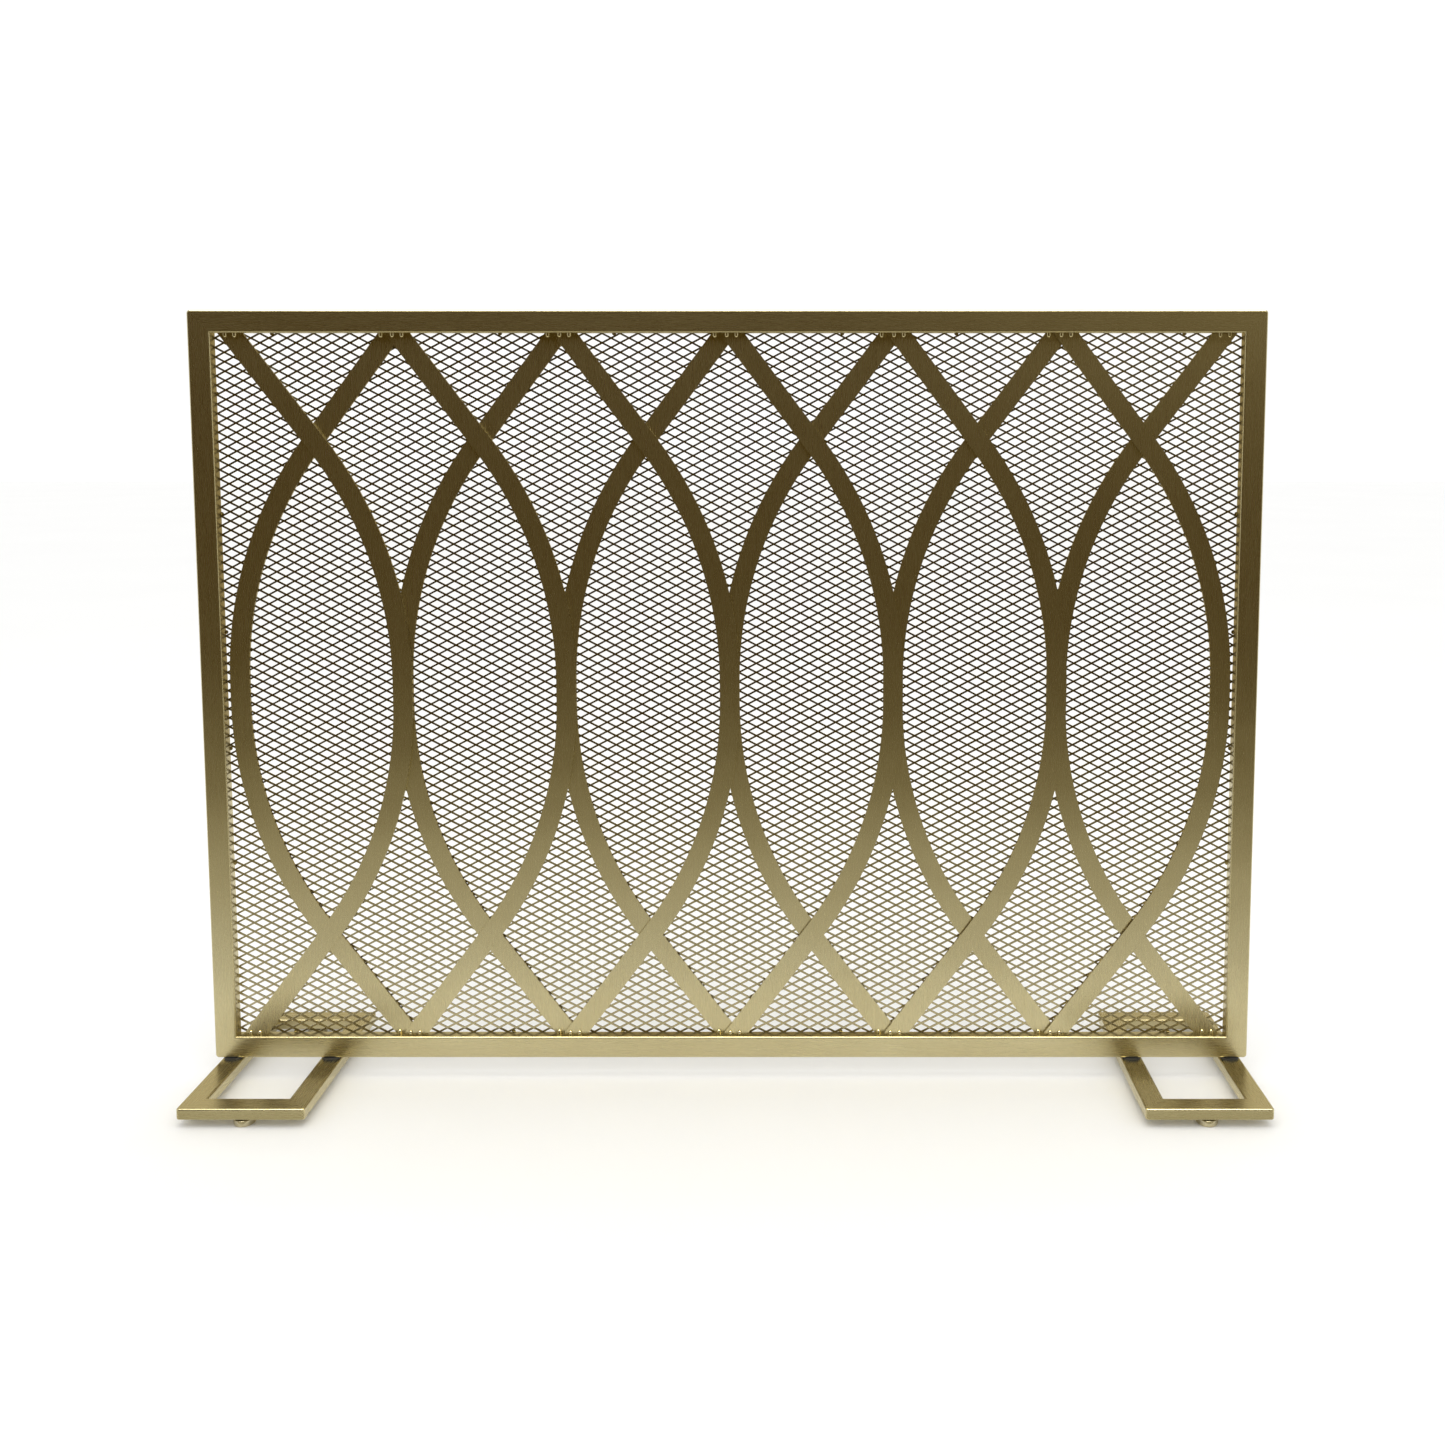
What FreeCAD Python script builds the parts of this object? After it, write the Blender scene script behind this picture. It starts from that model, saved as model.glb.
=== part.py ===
# Free-standing single-panel fireplace screen, in millimetres, +Z up, the front facing -Y.
# The origin is on the floor, under the middle of the screen.
# A mitred tube frame holds an expanded-metal panel, twelve flat bowed bars and two tube feet.
import FreeCAD
import Part
import math
import os
from FreeCAD import Vector

X_AXIS, Y_AXIS, Z_AXIS = Vector(1, 0, 0), Vector(0, 1, 0), Vector(0, 0, 1)
SIDES = {"left": -1, "right": 1}
ENDS = {"front": -1, "rear": 1}

# Rectangular tube: the same face and wall for the frame and the feet, the frame's the deeper.
tube_face = 20.0
frame_tube_depth = 12.7
foot_tube_depth = 10.0
tube_wall = 1.2
tube_edge_radius = 1.5
ring_corner_radius = 3.0

# Frame.
frame_width = 965.0
frame_height = 692.0
opening_width = frame_width - 2 * tube_face
opening_height = frame_height - 2 * tube_face

# Feet: each is a mitred ring of tube, lying flat under one end of the frame.
foot_width = 112.0
foot_length = 200.0
foot_inset = 5.0
foot_centre_x = frame_width / 2 - foot_inset - foot_width / 2

# Heights, from the floor up.
glide_height = 7.0
foot_gap = 2.0
foot_bottom = glide_height
foot_top = foot_bottom + foot_tube_depth
frame_bottom = foot_top + foot_gap
frame_top = frame_bottom + frame_height
opening_bottom = frame_bottom + tube_face
opening_top = frame_top - tube_face
opening_middle = (opening_bottom + opening_top) / 2

# Bowed bars: flat strip bent edgeways, six that bow right in front of six that bow left.
bar_count = 6
bar_pitch = 150.0
bar_width = 18.0
bar_thickness = 2.5
bar_front_y = -0.8
bow_radius = 360.0
bow_flat_half = 10.5
bow_end_angle = math.atan(0.75)

# Expanded-metal panel behind the bars. Its openings and strands are drawn at twice their size.
mesh_drawn_scale = 2.0
mesh_long_pitch = 16.2 * mesh_drawn_scale
mesh_short_pitch = 8.4 * mesh_drawn_scale
mesh_strand = 1.3 * mesh_drawn_scale
mesh_thickness = 1.0
mesh_front_y = 4.5
mesh_back_y = mesh_front_y + mesh_thickness

# Weld beads: on the bar ends in front, and round the edge of the mesh behind.
bar_bead_radius = 1.9
bar_bead_stem = 2.2
bar_bead_spread = 4.3
bar_bead_side = 8.5
mesh_bead_radius = 1.9
mesh_beads_long = 9
mesh_beads_short = 6

# Screws that hold a foot to the bottom rail (M5), with their washers, spacers and rivet nuts.
screw_radius = 2.5
screw_length = 19.0
screw_head_radius = 4.75
screw_head_height = 2.7
screw_socket_radius = 1.73
screw_socket_depth = 1.6
screw_hole_radius = 2.75
washer_radius = 5.0
washer_height = 1.0
spacer_radius = 9.0
spacer_bore = 4.8
rivet_nut_radius = 3.5
rivet_nut_length = 11.0
rivet_nut_flange_radius = 4.6
rivet_nut_flange_height = 0.8
rivet_nut_bore = 2.55

# Levelling glides: a turned base on an M6 stud, in a threaded insert in each foot's end bars.
glide_top_radius = 9.5
glide_floor_radius = 9.2
glide_base_height = 5.9
glide_floor_round = 1.2
glide_top_round = 0.8
stud_radius = 3.0
stud_top = 14.9
stud_chamfer = 0.6
stud_seat = 2.4
stud_hole = 3.05
insert_radius = 4.0
insert_length = 7.0
insert_flange_radius = 5.5
insert_flange_height = 0.5
insert_bore = 3.15

# How far a cutting shape runs past the surface that it opens.
run_out = 1.0

parts = {}


def polygon_prism(points, direction):
    return Part.Face(Part.makePolygon(points + points[:1])).extrude(direction)


def rounded_bar(length, height, depth, radius, edges):
    """A bar along X, centred on it, with its lower or all four long edges rounded."""
    bar = Part.makeBox(length, depth, height, Vector(-length / 2, -depth / 2, -height / 2))
    long_edges = [e for e in bar.Edges if abs(e.tangentAt(e.FirstParameter).x) > 0.9]
    if edges == "lower":
        long_edges = [e for e in long_edges if e.BoundBox.ZMax < 0]
    return bar.makeFillet(radius, long_edges)


def ring_outline(width, height, depth):
    """The filled outside shape of a ring: its corners rounded, and then the edges all round."""
    slab = Part.makeBox(width, depth, height, Vector(-width / 2, -depth / 2, -height / 2))
    corners = [e for e in slab.Edges if abs(e.tangentAt(e.FirstParameter).y) > 0.9]
    slab = slab.makeFillet(ring_corner_radius, corners)
    outline = [e for e in slab.Edges if e.BoundBox.YLength < 0.01]
    return slab.makeFillet(tube_edge_radius, outline)


def mitred_tube(length, depth):
    """One side of a mitred ring: the tube along X with its long outer edge on Z = 0, facing up."""
    outer = rounded_bar(length, tube_face, depth, tube_edge_radius, "lower")
    inner = rounded_bar(length, tube_face - 2 * tube_wall, depth - 2 * tube_wall,
                        tube_edge_radius - tube_wall, "all")
    tube = outer.cut(inner)
    tube.translate(Vector(0, 0, -tube_face / 2))
    half, short = length / 2, length / 2 - tube_face
    corners = [Vector(x, -depth, z) for x, z in
               ((-half, 0), (half, 0), (short, -tube_face), (-short, -tube_face))]
    return tube.common(polygon_prism(corners, Vector(0, 2 * depth, 0)))


def mitred_ring(width, height, depth):
    """The four sides of a ring of mitred tube in the XZ plane, centred on the origin."""
    ring, outline = {}, ring_outline(width, height, depth)
    for name, length, offset, turn in (("top", width, height / 2, 0), ("left", height, width / 2, -90),
                                       ("bottom", width, height / 2, 180), ("right", height, width / 2, 90)):
        side = mitred_tube(length, depth)
        side.translate(Vector(0, 0, offset))
        side.rotate(Vector(0, 0, 0), Y_AXIS, turn)
        ring[name] = side.common(outline)
    return ring


def cylinder(radius, bottom, top, x, y):
    return Part.makeCylinder(radius, top - bottom, Vector(x, y, bottom))


def screw_places():
    """Each foot is screwed through the middles of its two side bars."""
    reach = foot_width / 2 - tube_face / 2
    return [side * foot_centre_x + along for side in SIDES.values() for along in (-reach, reach)]


def glide_places():
    """Each foot stands on a glide under the middle of its front bar and one under its rear bar."""
    reach = foot_length / 2 - tube_face / 2
    return {(end, side): (SIDES[side] * foot_centre_x, ENDS[end] * reach) for end in ENDS for side in SIDES}


def make_frame():
    ring = mitred_ring(frame_width, frame_height, frame_tube_depth)
    for rail in ring.values():
        rail.translate(Vector(0, 0, frame_bottom + frame_height / 2))
    for x in screw_places():
        hole = cylinder(rivet_nut_radius, frame_bottom - run_out, frame_bottom + 2 * tube_wall, x, 0)
        ring["bottom"] = ring["bottom"].cut(hole)
    for name, rail in ring.items():
        parts[f"frame_{name}_rail"] = rail


def make_feet():
    bar_names = {"top": "rear", "bottom": "front", "left": "left", "right": "right"}
    for side, sign in SIDES.items():
        for name, bar in mitred_ring(foot_width, foot_length, foot_tube_depth).items():
            bar.rotate(Vector(0, 0, 0), X_AXIS, -90)
            bar.translate(Vector(sign * foot_centre_x, 0, foot_bottom + foot_tube_depth / 2))
            if name in SIDES:
                x = sign * foot_centre_x + SIDES[name] * (foot_width - tube_face) / 2
                bar = bar.cut(cylinder(screw_hole_radius, foot_bottom - run_out, foot_top + run_out, x, 0))
            else:
                x, y = glide_places()[(bar_names[name], side)]
                hole = cylinder(insert_radius, foot_bottom - run_out, foot_bottom + 2 * tube_wall, x, y)
                bar = bar.cut(hole)
            parts[f"{side}_foot_{bar_names[name]}_bar"] = bar


def bow_edge(offset):
    """Points down one edge of a bar that bows to +X, apex at X = offset, as runs and arc middles."""
    radius = bow_radius + offset
    half = opening_height / 2

    def on_arc(angle):
        return offset - radius * (1 - math.cos(angle)), bow_flat_half + radius * math.sin(angle)

    end_x, end_z = on_arc(bow_end_angle)
    tip_x = end_x - (half - end_z) * math.tan(bow_end_angle)
    upper = [(tip_x, half), (end_x, end_z), on_arc(bow_end_angle / 2), (offset, bow_flat_half)]
    return upper + [(x, -z) for x, z in reversed(upper)]


def bow_edge_curve(points, y):
    tip, tangent, middle, apex, low_apex, low_middle, low_tangent, low_tip = [
        Vector(x, y, opening_middle + z) for x, z in points]
    return [Part.LineSegment(tip, tangent).toShape(), Part.Arc(tangent, middle, apex).toShape(),
            Part.LineSegment(apex, low_apex).toShape(),
            Part.Arc(low_apex, low_middle, low_tangent).toShape(),
            Part.LineSegment(low_tangent, low_tip).toShape()]


def bowed_bar(y):
    """A flat bar that bows to +X, with its apex on X = 0 and its front face on the given Y."""
    outer, inner = bow_edge(bar_width / 2), bow_edge(-bar_width / 2)
    ends = [Part.LineSegment(Vector(outer[i][0], y, opening_middle + outer[i][1]),
                             Vector(inner[i][0], y, opening_middle + inner[i][1])).toShape()
            for i in (0, -1)]
    edges = bow_edge_curve(outer, y) + [ends[1]] + bow_edge_curve(inner, y) + [ends[0]]
    wire = Part.Wire(Part.__sortEdges__(edges))
    return Part.Face(wire).extrude(Vector(0, bar_thickness, 0))


def bar_sag():
    """How far a bar's ends stand from its apex, along X."""
    return -sum(bow_edge(edge)[0][0] for edge in (-bar_width / 2, bar_width / 2)) / 2


def apexes(bow):
    """X of each bar's apex: the bars that bow right (+1) start one pitch further right."""
    first = -bar_count / 2 * bar_pitch + (bar_pitch if bow > 0 else 0)
    return [first + i * bar_pitch for i in range(bar_count)]


def make_bars():
    for layer, bow, y in (("front", 1, bar_front_y), ("rear", -1, bar_front_y + bar_thickness)):
        for number, x in enumerate(apexes(bow), 1):
            bar = bowed_bar(y)
            if bow < 0:
                bar = bar.mirror(Vector(0, 0, 0), X_AXIS)
            bar.translate(Vector(x, 0, 0))
            parts[f"bow_bar_{layer}_{number}"] = bar


def bar_bead(x, y, z, inward):
    """A dome-ended weld bead that stands on a rail, against the front face of a bar."""
    tip = z + inward * bar_bead_stem
    stem = cylinder(bar_bead_radius, min(z, tip), max(z, tip), x, y)
    dome = Part.makeSphere(bar_bead_radius, Vector(x, y, tip))
    size = 4 * bar_bead_radius
    in_front = Part.makeBox(size, size, size, Vector(x - size / 2, y - size, tip - size / 2))
    return stem.fuse(dome).common(in_front).removeSplitter()


def bead_places():
    """X and Y of each bead at one rail: two on each uncovered bar end, one beside it on a covered end."""
    pair = (-bar_bead_spread, bar_bead_spread)
    ends = {bow: [apex - bow * bar_sag() for apex in apexes(bow)] for bow in (1, -1)}
    rear_y = bar_front_y + bar_thickness
    places = [(end + step, bar_front_y) for end in ends[1] for step in pair]
    places += [(end - bar_bead_side, rear_y) for end in ends[-1][:-1]]
    return places + [(ends[-1][-1] + step, rear_y) for step in pair]


def make_bar_beads():
    for name, z, inward in (("top", opening_top, -1), ("bottom", opening_bottom, 1)):
        parts[f"bar_welds_{name}"] = Part.makeCompound([bar_bead(x, y, z, inward) for x, y in bead_places()])


def make_mesh():
    """A flattened expanded-metal panel: rows of diamond openings, each row half a pitch along."""
    columns = int(opening_width / mesh_long_pitch)
    rows = int(opening_height / mesh_short_pitch)
    across, up = opening_width / columns, opening_height / rows
    trim = 1 - mesh_strand * math.hypot(across, up) / (across * up)
    half_x, half_z = trim * across / 2, trim * up / 2
    left, low = -opening_width / 2, opening_bottom
    right, high = left + opening_width, low + opening_height
    sheet = Part.Face(Part.makePolygon([Vector(x, mesh_front_y, z) for x, z in (
        (left, low), (right, low), (right, high), (left, high), (left, low))]))
    holes = []
    for row in range(2 * rows - 1):
        shift = row % 2
        for column in range(columns - shift):
            x, z = left + across * (column + (1 + shift) / 2), low + up * (row + 1) / 2
            corners = [Vector(x + i * half_x, mesh_front_y, z + k * half_z)
                       for i, k in ((-1, 0), (0, 1), (1, 0), (0, -1), (-1, 0))]
            holes.append(Part.makePolygon(corners))
    sheet.cutHoles(holes)
    parts["mesh_panel"] = sheet.extrude(Vector(0, mesh_thickness, 0))


def spaced(count, span):
    return [span * ((i + 0.5) / count - 0.5) for i in range(count)]


def make_mesh_beads():
    """Tack welds between the back of the mesh and the rails, shaped round the rails' edges."""
    half_width, half_height = opening_width / 2, opening_height / 2
    places = [(x, sign * half_height, "top" if sign > 0 else "bottom")
              for x in spaced(mesh_beads_long, opening_width) for sign in (-1, 1)]
    places += [(sign * half_width, z, side)
               for side, sign in SIDES.items() for z in spaced(mesh_beads_short, opening_height)]
    beads = []
    for x, z, side in places:
        centre = Vector(x, mesh_back_y, opening_middle + z)
        size = 2 * mesh_bead_radius
        behind = Part.makeBox(2 * size, size, 2 * size, centre - Vector(size, 0, size))
        ball = Part.makeSphere(mesh_bead_radius, centre).common(behind)
        outside = ball.cut(parts[f"frame_{side}_rail"]).Solids
        beads.append(max(outside, key=lambda solid: solid.Volume))
    parts["mesh_welds"] = Part.makeCompound(beads)


def button_head_screw(x):
    """An M5 screw, pushed up through the foot and into the rail, with a hexagon socket."""
    seat = foot_bottom - washer_height
    shank = cylinder(screw_radius, seat, seat + screw_length, x, 0)
    low = seat - screw_head_height
    rise, reach = screw_head_height, screw_head_radius
    crown_radius = (rise ** 2 + reach ** 2) / (2 * rise)
    ball = Part.makeSphere(crown_radius, Vector(x, 0, low + crown_radius))
    head = ball.common(cylinder(reach, low, seat, x, 0))
    corners = [Vector(x + screw_socket_radius * math.cos(a), screw_socket_radius * math.sin(a), low)
               for a in (math.radians(60 * i) for i in range(6))]
    return head.fuse(shank).cut(polygon_prism(corners, Vector(0, 0, screw_socket_depth))).removeSplitter()


def ring_at(radius, bore, bottom, top, x, y=0.0):
    return cylinder(radius, bottom, top, x, y).cut(cylinder(bore, bottom - run_out, top + run_out, x, y))


def flanged_nut(flange_radius, flange_bottom, seat, radius, top, bore, x, y):
    """A threaded insert whose flange sits against the underside of a tube wall."""
    flange = cylinder(flange_radius, flange_bottom, seat, x, y)
    body = cylinder(radius, seat, top, x, y)
    bored = flange.fuse(body).cut(cylinder(bore, flange_bottom - run_out, top + run_out, x, y))
    return bored.removeSplitter()


def make_foot_fixings():
    flange_bottom = frame_bottom - rivet_nut_flange_height
    groups = {"foot_screws": [], "foot_screw_washers": [], "foot_spacers": [], "rail_rivet_nuts": []}
    for x in screw_places():
        groups["foot_screws"].append(button_head_screw(x))
        groups["foot_screw_washers"].append(
            ring_at(washer_radius, screw_hole_radius, foot_bottom - washer_height, foot_bottom, x))
        groups["foot_spacers"].append(ring_at(spacer_radius, spacer_bore, foot_top, frame_bottom, x))
        groups["rail_rivet_nuts"].append(
            flanged_nut(rivet_nut_flange_radius, flange_bottom, frame_bottom, rivet_nut_radius,
                        frame_bottom + rivet_nut_length, rivet_nut_bore, x, 0))
    for name, solids in groups.items():
        parts[name] = Part.makeCompound(solids)


def glide_base(x, y):
    """The turned base: a low, slightly tapered disc with rounded edges, bored for its stud."""
    base = Part.makeCone(glide_floor_radius, glide_top_radius, glide_base_height)
    sole, top = [[e for e in base.Edges if e.Closed and abs(e.BoundBox.ZMin - z) < 0.01]
                 for z in (0, glide_base_height)]
    base = base.makeFillet(glide_floor_round, sole).makeFillet(glide_top_round, top)
    base = base.cut(cylinder(stud_hole, stud_seat, glide_base_height + run_out, 0, 0))
    base.translate(Vector(x, y, 0))
    return base


def make_glides():
    inserts = []
    for (end, side), (x, y) in glide_places().items():
        parts[f"glide_base_{end}_{side}"] = glide_base(x, y)
        stud = cylinder(stud_radius, stud_seat, stud_top, x, y)
        tip = [e for e in stud.Edges if e.BoundBox.ZMin > stud_top - 0.01 and e.Closed]
        parts[f"glide_stud_{end}_{side}"] = stud.makeChamfer(stud_chamfer, tip[:1])
        inserts.append(flanged_nut(insert_flange_radius, foot_bottom - insert_flange_height, foot_bottom,
                                   insert_radius, foot_bottom + insert_length, insert_bore, x, y))
    parts["glide_inserts"] = Part.makeCompound(inserts)


def main():
    make_frame()
    make_feet()
    make_bars()
    make_bar_beads()
    make_mesh()
    make_mesh_beads()
    make_foot_fixings()
    make_glides()
    os.makedirs("parts", exist_ok=True)
    for name, shape in parts.items():
        sound = all(solid.isValid() for solid in shape.Solids)
        print(f"{name}: {len(shape.Solids)} solid(s), {shape.Volume:.0f} mm3, valid {sound}")
        shape.exportStep(f"parts/{name}.step")


main()
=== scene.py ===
# Looks of the fireplace screen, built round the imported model. Metres, +Z up, the front facing -Y.
import math

import bpy
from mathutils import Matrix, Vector


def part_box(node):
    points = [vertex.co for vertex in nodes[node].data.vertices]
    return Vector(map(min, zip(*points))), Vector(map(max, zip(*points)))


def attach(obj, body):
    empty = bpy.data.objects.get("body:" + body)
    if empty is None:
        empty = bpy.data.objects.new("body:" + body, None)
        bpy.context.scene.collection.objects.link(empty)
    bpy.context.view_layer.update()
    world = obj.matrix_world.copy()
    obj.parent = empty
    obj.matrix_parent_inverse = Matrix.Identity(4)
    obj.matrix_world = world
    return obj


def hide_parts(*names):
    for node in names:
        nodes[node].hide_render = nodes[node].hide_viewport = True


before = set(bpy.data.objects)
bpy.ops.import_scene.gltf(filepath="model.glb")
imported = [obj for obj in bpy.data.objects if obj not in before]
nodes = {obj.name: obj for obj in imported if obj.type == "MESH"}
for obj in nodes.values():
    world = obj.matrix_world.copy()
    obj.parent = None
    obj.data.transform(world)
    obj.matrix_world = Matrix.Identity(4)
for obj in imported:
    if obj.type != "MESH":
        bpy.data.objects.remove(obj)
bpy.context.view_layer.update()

# Camera: where it stands, how far it looks down, its focal length and its lens shift.
camera_place = Vector((0.073, -1.240, 0.607))
camera_pitch_deg = 5.1
camera_lens = 34.1
camera_shift = (-0.060, -0.120)

# Expanded metal: one long pitch by one short pitch holds two diamonds.
mesh_long_pitch = 0.0162
mesh_short_pitch = 0.0084
mesh_strand = 0.00162
mesh_relief = 0.00005

# Colours of the surfaces, linear.
champagne = (0.57, 0.505, 0.30)
champagne_shade = (0.51, 0.44, 0.245)
# The mesh's two colours are the frame's lacquer darkened: painted shade for its thin, angled strands.
mesh_champagne_painted_shade = (0.42, 0.37, 0.215)
mesh_dark_painted_shade = (0.33, 0.28, 0.15)
# The welds' colour is the lacquer lightened: a painted highlight on the small beads.
weld_champagne_painted_highlight = (0.68, 0.60, 0.36)
glide_champagne = (0.62, 0.55, 0.36)
zinc_grey = (0.56, 0.56, 0.54)
nylon_black = (0.02, 0.02, 0.02)
floor_white = (0.97, 0.97, 0.96)

# Colours of what the surfaces mirror, linear. The dark side of the room runs from the floor's near edge
# to the far wall.
room_near = (0.86, 0.86, 0.83)
room_middle = (0.64, 0.61, 0.50)
room_dim = (0.26, 0.215, 0.10)
room_dark = (0.084, 0.052, 0.009)
room_glow = (0.26, 0.215, 0.12)
foot_shade = (0.60, 0.57, 0.46)
hearth_dark = (0.38, 0.30, 0.15)
wall_tan = (0.69, 0.62, 0.44)
ceiling_white = (1.0, 0.98, 0.90)

# Roughness of each finish.
lacquer_roughness = 0.27
mesh_roughness = 0.18
weld_roughness = 0.16
glide_roughness = 0.15
zinc_roughness = 0.35
nylon_roughness = 0.5
floor_roughness = 0.9

# Brushed grain: how much it is drawn out along its axis, and the scales of the noises in the lacquer.
grain_stretch = 0.02
grain_scale, streak_scale, cloud_scale, wave_scale = 2600.0, 420.0, 11.0, 16.0
cloud_weight, streak_weight = 0.8, 0.2
wave_strength, wave_depth = 0.5, 0.0008
grain_strength, grain_depth = 0.025, 0.0004
coat_weight, coat_roughness = 0.1, 0.3

# Mottling of the fittings and clouds of the floor: the noise's scale, and the share of the colour that
# the darker tint keeps.
mottle_scale, mottle_tint = 300.0, 0.75
floor_cloud_scale, floor_tint = 1.5, 0.985

# Width of the broken edge on the bow bars, and the least angle that counts as an edge.
eased_width = 0.0004
edge_angle_deg = 50

# How high the reflection cards start above the floor, the strips before the feet just over the room's
# card, and how wide the walls reach to each side.
card_lift = 0.001
foot_card_lift = 0.0015
wall_reach = 3.0


# ---------------------------------------------------------------- materials


class Shader:
    """A material under construction: makes and links nodes by name."""

    def __init__(self, name):
        self.material = bpy.data.materials.new(name)
        self.material.use_nodes = True
        self.tree = self.material.node_tree
        self.tree.nodes.clear()
        self.output = self.add("OutputMaterial")

    def add(self, kind, **inputs):
        node = self.tree.nodes.new("ShaderNode" + kind)
        for key, value in inputs.items():
            socket = node.inputs[key.replace("_", " ")]
            if isinstance(value, bpy.types.NodeSocket):
                self.tree.links.new(value, socket)
            else:
                socket.default_value = value
        return node

    def place(self):
        """Where a point lies in its object's own space."""
        return self.add("TexCoord").outputs["Object"]

    def ramp(self, factor, stops):
        """A colour ramp of (position, colour) stops."""
        node = self.add("ValToRGB", Fac=factor)
        band = node.color_ramp
        while len(band.elements) < len(stops):
            band.elements.new(0.5)
        for element, (position, colour) in zip(band.elements, stops):
            element.position = position
            element.color = (*colour, 1.0)
        return node.outputs["Color"]

    def mix(self, factor, first, second):
        """From the first colour, a socket, to the second, a plain colour."""
        node = self.add("MixRGB", Fac=factor, Color1=first, Color2=(*second, 1.0))
        return node.outputs["Color"]

    def noise(self, vector, scale, detail):
        return self.add("TexNoise", Vector=vector, Scale=scale, Detail=detail).outputs["Fac"]

    def remap(self, value, low, high, low_in=0.0, high_in=1.0):
        node = self.add("MapRange", Value=value, From_Min=low_in, From_Max=high_in, To_Min=low, To_Max=high)
        return node.outputs["Result"]

    def finish(self, surface):
        """Make this node the surface, and give the material back."""
        self.tree.links.new(surface.outputs[0], self.output.inputs["Surface"])
        return self.material

    def finish_glow(self, colour, strength=1.0):
        """The same for a surface that gives off light of its own."""
        return self.finish(self.add("Emission", Color=colour, Strength=strength))


def lacquer(name, grain_axis, light=champagne, shade=champagne_shade, roughness=lacquer_roughness):
    """Satin metallic lacquer over brushed steel, with the grain along one axis."""
    s = Shader(name)
    place = s.place()
    stretch = [1.0, 1.0, 1.0]
    stretch[grain_axis] = grain_stretch
    along = s.add("Mapping", Vector=place, Scale=stretch).outputs["Vector"]
    grain = s.noise(along, grain_scale, detail=2.0)
    streak = s.noise(along, streak_scale, detail=3.0)
    cloud = s.noise(place, cloud_scale, detail=4.0)
    # Clouds with a few streaks on top decide between the shade and the light colour.
    tone = s.add("Math", Value=cloud)
    tone.operation = "MULTIPLY_ADD"
    tone.inputs[1].default_value = cloud_weight
    s.tree.links.new(s.remap(streak, 0.0, streak_weight), tone.inputs[2])
    colour = s.ramp(tone.outputs["Value"], ((0.25, shade), (0.75, light)))
    smoothest, roughest = roughness - 0.015, roughness + 0.02
    rough = s.remap(grain, smoothest, roughest, low_in=0.3, high_in=0.7)
    # Slow waves of the surface, then the fine grain.
    wave = s.noise(place, wave_scale, detail=1.0)
    waved = s.add("Bump", Height=wave, Strength=wave_strength, Distance=wave_depth).outputs["Normal"]
    brushed = s.add("Bump", Height=grain, Strength=grain_strength, Distance=grain_depth, Normal=waved)
    return s.finish(s.add("BsdfPrincipled", Base_Color=colour, Roughness=rough, Metallic=1.0,
                          Normal=brushed.outputs["Normal"], Coat_Weight=coat_weight,
                          Coat_Roughness=coat_roughness))


def plated(name, colour, roughness, metallic=1.0):
    """Plain finish of small fittings, with fine mottling."""
    s = Shader(name)
    cloud = s.noise(s.place(), mottle_scale, detail=3.0)
    darker = tuple(mottle_tint * c for c in colour)
    tint = s.ramp(cloud, ((0.3, darker), (0.7, colour)))
    rough = s.remap(cloud, roughness - 0.04, roughness + 0.08)
    return s.finish(s.add("BsdfPrincipled", Base_Color=tint, Roughness=rough, Metallic=metallic))


def paint(node_name, material):
    mesh = nodes[node_name].data
    mesh.materials.clear()
    mesh.materials.append(material)


def ease_edges(node_name):
    """Break a node's sharp edges, as lacquered steel has, so that they catch the light."""
    bevel = nodes[node_name].modifiers.new("eased_edges", "BEVEL")
    bevel.width, bevel.segments, bevel.limit_method = eased_width, 2, "ANGLE"
    bevel.angle_limit = math.radians(edge_angle_deg)


def finish_cad_nodes():
    """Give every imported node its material; the mesh panel is replaced and needs none."""
    grain = {name: lacquer(f"champagne_lacquer_{name}", axis) for axis, name in enumerate("xyz")}
    zinc = plated("zinc", zinc_grey, zinc_roughness)
    nylon = plated("black_nylon", nylon_black, nylon_roughness, metallic=0.0)
    gloss = plated("glide_gloss", glide_champagne, glide_roughness)
    # The welds' lighter colour is a painted highlight.
    weld = plated("lacquered_weld_painted_highlight", weld_champagne_painted_highlight, weld_roughness)
    for name in nodes:
        if name in ("frame_top_rail", "frame_bottom_rail"):
            paint(name, grain["x"])
        elif name.startswith("frame_"):
            paint(name, grain["z"])
        elif name.startswith("bow_bar"):
            paint(name, grain["z"])
            ease_edges(name)
        elif name.endswith(("front_bar", "rear_bar")):
            paint(name, grain["x"])
        elif "_foot_" in name:
            paint(name, grain["y"])
        elif "welds" in name:
            paint(name, weld)
        elif name.startswith("glide_base"):
            paint(name, gloss)
        elif name == "foot_spacers":
            paint(name, nylon)
        elif name != "mesh_panel":
            paint(name, zinc)


# ---------------------------------------------------------------- expanded metal


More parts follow.
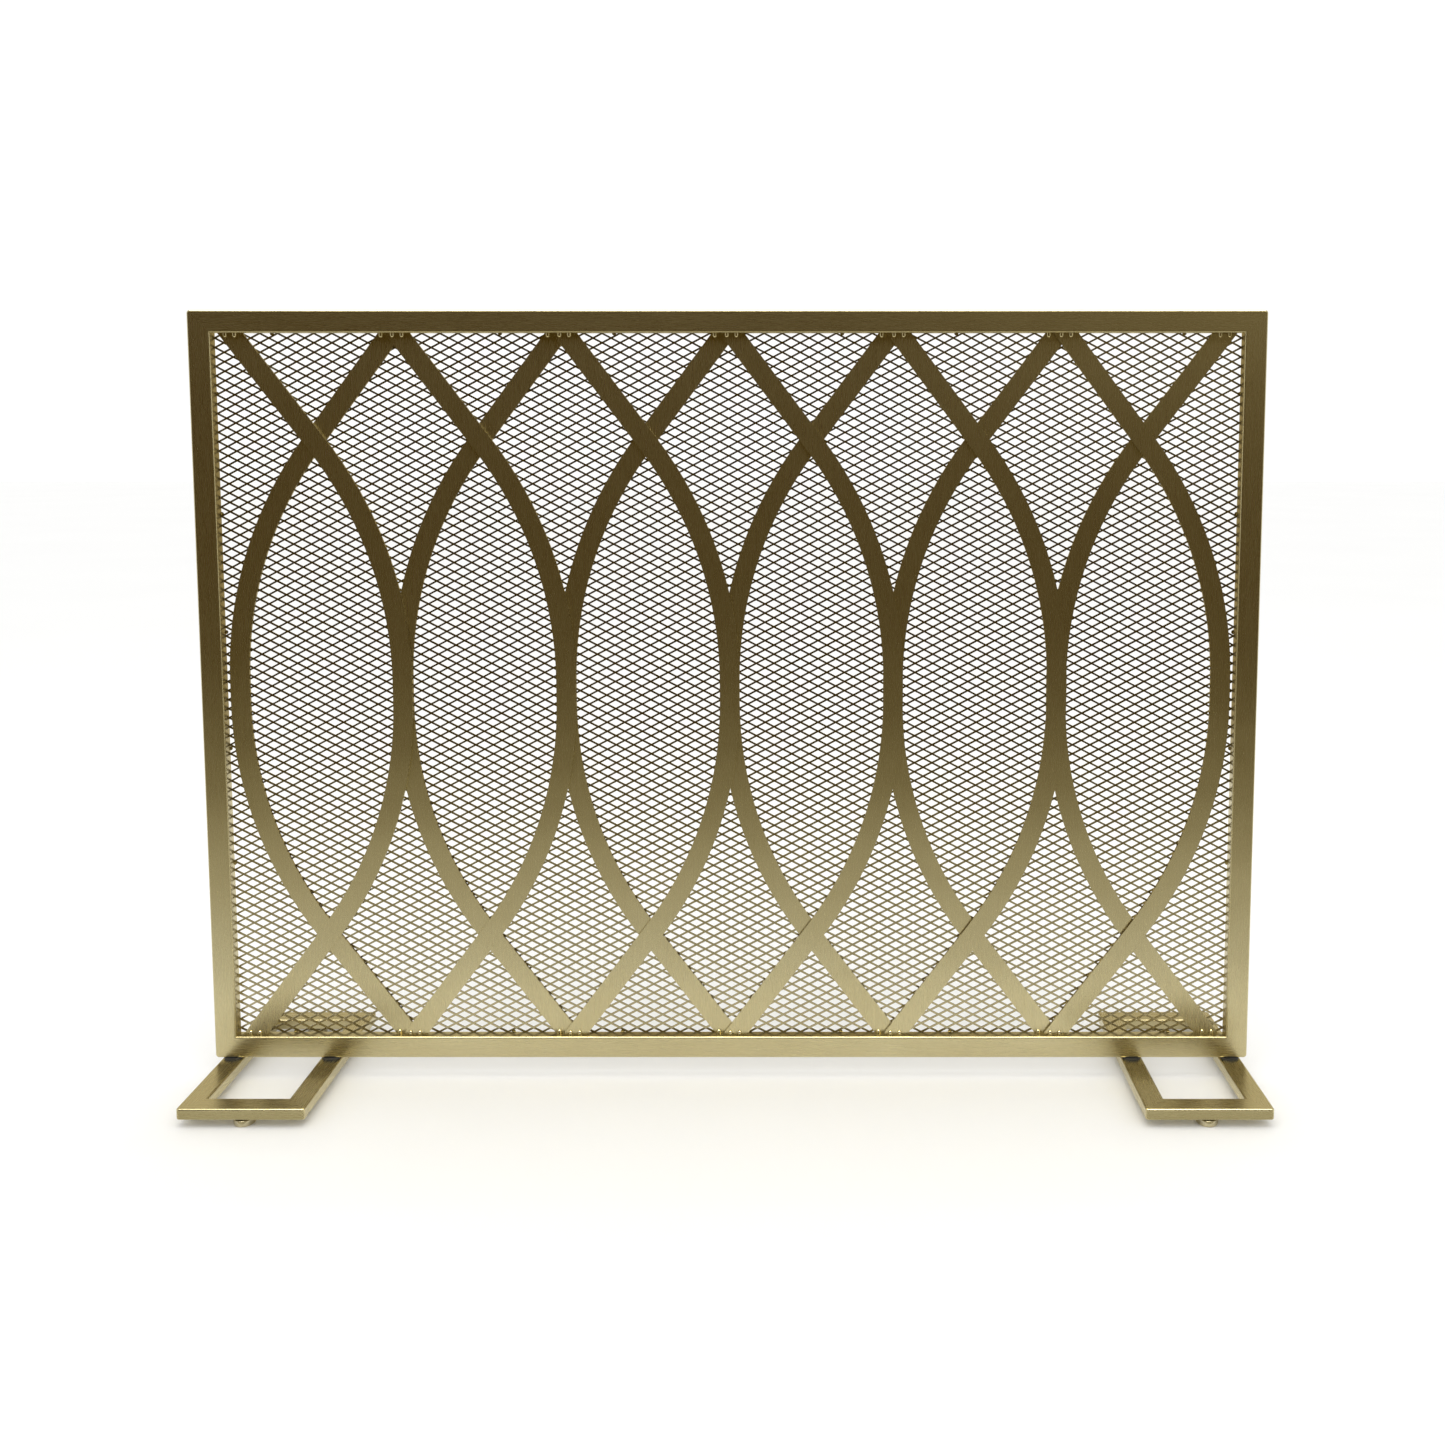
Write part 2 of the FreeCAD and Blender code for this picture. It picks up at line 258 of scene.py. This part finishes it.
def make_mesh_panel():
    """The flattened expanded metal: small diamond junctions joined by slightly twisted strands."""
    low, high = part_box("mesh_panel")
    columns = int((high.x - low.x) / mesh_long_pitch)
    rows = int((high.z - low.z) / mesh_short_pitch)
    half_x, half_z = (high.x - low.x) / columns / 2, (high.z - low.z) / rows / 2
    # The share of a half pitch that a junction takes, for strands of the given width.
    share = mesh_strand * math.hypot(half_x, half_z) / (2 * half_x * half_z)
    tip_x, tip_z = half_x * share, half_z * share
    middle, half_thick = (low.y + high.y) / 2, (high.y - low.y) / 2 - mesh_relief
    # A junction's corners, as (x, z, which way it leans): right, top, left, bottom.
    corners = ((tip_x, 0, 0), (0, tip_z, 1), (-tip_x, 0, 0), (0, -tip_z, -1))
    right, top, left, bottom = range(4)
    # Each junction has four corners in front and four behind; `first` holds the number of its first corner.
    points, faces, first = [], [], {}
    for i in range(2 * columns + 1):
        for k in range((i + 1) % 2, 2 * rows + 1, 2):
            first[i, k] = len(points)
            x, z = low.x + i * half_x, low.z + k * half_z
            for side in (-1, 1):
                points += [(x + cx, middle + side * half_thick + lean * mesh_relief, z + cz)
                           for cx, cz, lean in corners]
    for (i, k), a in first.items():
        faces.append([a + c for c in (right, top, left, bottom)][::-1])
        faces.append([a + 4 + c for c in (right, top, left, bottom)])
        # Strands up to the right and down to the right of this junction.
        for other, ends in (((i + 1, k + 1), ((right, top), (bottom, left))),
                            ((i + 1, k - 1), ((bottom, right), (left, top)))):
            if other not in first:
                continue
            b = first[other]
            (a0, a1), (b0, b1) = ends
            front = (a + a1, a + a0, b + b0, b + b1)
            back = tuple(p + 4 for p in front)
            faces.append(front)
            faces.append(back[::-1])
            faces.append((front[2], front[1], back[1], back[2]))
            faces.append((front[0], front[3], back[3], back[0]))
    mesh = bpy.data.meshes.new("expanded_metal")
    mesh.from_pydata(points, [], faces)
    mesh.validate()
    piece = bpy.data.objects.new("expanded_metal", mesh)
    bpy.context.scene.collection.objects.link(piece)
    # Its lacquer is darker than the frame's: painted shade.
    mesh.materials.append(lacquer("mesh_lacquer_painted_shade", 0, mesh_champagne_painted_shade, mesh_dark_painted_shade, mesh_roughness))
    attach(piece, "screen")
    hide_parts("mesh_panel")


# ---------------------------------------------------------------- studio


def stage_plane(name, corners, material):
    """A plane of one or more four-cornered faces, as part of the stage."""
    mesh = bpy.data.meshes.new(name)
    mesh.from_pydata(corners, [], [tuple(range(i, i + 4)) for i in range(0, len(corners), 4)])
    mesh.materials.append(material)
    plane = bpy.data.objects.new(name, mesh)
    bpy.context.scene.collection.objects.link(plane)
    return plane


def reflection_card(name, corners, material):
    """A stage plane that shows in reflections only."""
    card = stage_plane(name, corners, material)
    card.visible_camera = card.visible_diffuse = card.visible_shadow = card.visible_transmission = False


def make_floor():
    s = Shader("pale_floor")
    cloud = s.noise(s.place(), floor_cloud_scale, detail=3.0)
    darker = tuple(floor_tint * c for c in floor_white)
    colour = s.ramp(cloud, ((0.3, darker), (0.7, floor_white)))
    material = s.finish(s.add("BsdfPrincipled", Base_Color=colour, Roughness=floor_roughness))
    reach = 14.0
    stage_plane("floor", [(-reach, -reach, 0), (reach, -reach, 0), (reach, reach, 0), (-reach, reach, 0)],
                material)


def make_room_side():
    """The floor and wall of the dark side of the room, in front of the screen."""
    near, far, lean, top = -0.22, -1.70, 0.3, 2.2
    lit_from, lit_full = 0.1, 1.3
    lit_low, lit_high = 0.5, 0.85
    s = Shader("dark_side_of_room")
    across, distance, height = s.add("SeparateXYZ", Vector=s.place()).outputs
    share = s.remap(distance, 0.0, 1.0, near, far)
    colour = s.ramp(share, ((0.0, room_near), (0.22, room_middle), (0.5, room_dim), (1.0, room_dark)))
    # A lighter part of the wall, up on the right.
    lit = s.add("Math", Value=s.remap(across, 0.0, 1.0, lit_from, lit_full))
    lit.operation = "MULTIPLY"
    s.tree.links.new(s.remap(height, 0.0, 1.0, lit_low, lit_high), lit.inputs[1])
    colour = s.mix(lit.outputs["Value"], colour, room_glow)
    floor_part = [(-wall_reach, near, card_lift), (wall_reach, near, card_lift),
                  (wall_reach, far, card_lift), (-wall_reach, far, card_lift)]
    wall_part = [(-wall_reach, far, card_lift), (wall_reach, far, card_lift),
                 (wall_reach, far - lean, top), (-wall_reach, far - lean, top)]
    reflection_card("dark_side_of_room", floor_part + wall_part, s.finish_glow(colour))


def make_foot_shades():
    """The shaded strip of floor before each foot, mirrored in the foot's front face and its glides."""
    gap, reach, margin, lift = 0.002, 0.045, 0.03, foot_card_lift
    material = Shader("foot_shade").finish_glow((*foot_shade, 1.0))
    for side in ("left", "right"):
        low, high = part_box(f"{side}_foot_front_bar")
        west, east, near, far = low.x - margin, high.x + margin, low.y - gap, low.y - reach
        reflection_card(f"{side}_foot_shade", [(west, near, lift), (east, near, lift),
                                               (east, far, lift), (west, far, lift)], material)


def make_back_wall():
    """The tan wall behind the screen with its darker hearth, mirrored in inner, upper and rear faces."""
    near, far, top = 1.3, 1.7, 2.6
    hearth_edge, wall_edge = 0.3, 0.6
    s = Shader("tan_wall")
    across = s.add("SeparateXYZ", Vector=s.place()).outputs["X"]
    off_centre = s.add("Math", Value=across)
    off_centre.operation = "ABSOLUTE"
    share = s.remap(off_centre.outputs["Value"], 0.0, 1.0, hearth_edge, wall_edge)
    colour = s.ramp(share, ((0.0, hearth_dark), (1.0, wall_tan)))
    reflection_card("tan_wall", [(wall_reach, near, card_lift), (-wall_reach, near, card_lift),
                                 (-wall_reach, far, top), (wall_reach, far, top)], s.finish_glow(colour))


def make_ceiling():
    """The bright ceiling over the screen, dimmer towards the back, mirrored in the edges and upper faces."""
    half, height, front, back = 1.2, 2.0, -1.5, 1.1
    front_strength, back_strength, fade_from, fade_to = 8.0, 2.0, -0.3, 0.1
    s = Shader("bright_ceiling")
    distance = s.add("SeparateXYZ", Vector=s.place()).outputs["Y"]
    strength = s.remap(distance, front_strength, back_strength, fade_from, fade_to)
    reflection_card("bright_ceiling", [(-half, front, height), (half, front, height),
                                       (half, back, height), (-half, back, height)],
                    s.finish_glow((*ceiling_white, 1.0), strength))


def make_lights():
    """An even white surround, and one broad soft light overhead."""
    surround_strength = 1.03
    world = bpy.data.worlds.new("studio")
    world.use_nodes = True
    background = world.node_tree.nodes["Background"]
    background.inputs["Color"].default_value = (1.0, 1.0, 1.0, 1.0)
    background.inputs["Strength"].default_value = surround_strength
    bpy.context.scene.world = world

    place, aim = Vector((0.2, -0.2, 2.4)), Vector((0, 0, 0.35))
    width, depth, watts = 2.2, 1.6, 9.0
    data = bpy.data.lights.new("overhead_softbox", "AREA")
    data.shape, data.size, data.size_y, data.energy = "RECTANGLE", width, depth, watts
    lamp = bpy.data.objects.new("overhead_softbox", data)
    lamp.location = place
    lamp.rotation_mode = "QUATERNION"
    lamp.rotation_quaternion = (aim - place).to_track_quat("-Z", "Y")
    bpy.context.scene.collection.objects.link(lamp)


def make_camera():
    data = bpy.data.cameras.new("camera")
    data.lens = camera_lens
    data.shift_x, data.shift_y = camera_shift
    camera = bpy.data.objects.new("camera", data)
    camera.location = camera_place
    camera.rotation_euler = (math.radians(90 - camera_pitch_deg), 0, 0)
    bpy.context.scene.collection.objects.link(camera)
    bpy.context.scene.camera = camera


make_camera()
finish_cad_nodes()
make_mesh_panel()
make_floor()
make_room_side()
make_foot_shades()
make_back_wall()
make_ceiling()
make_lights()
bpy.context.scene.view_settings.view_transform = "Standard"
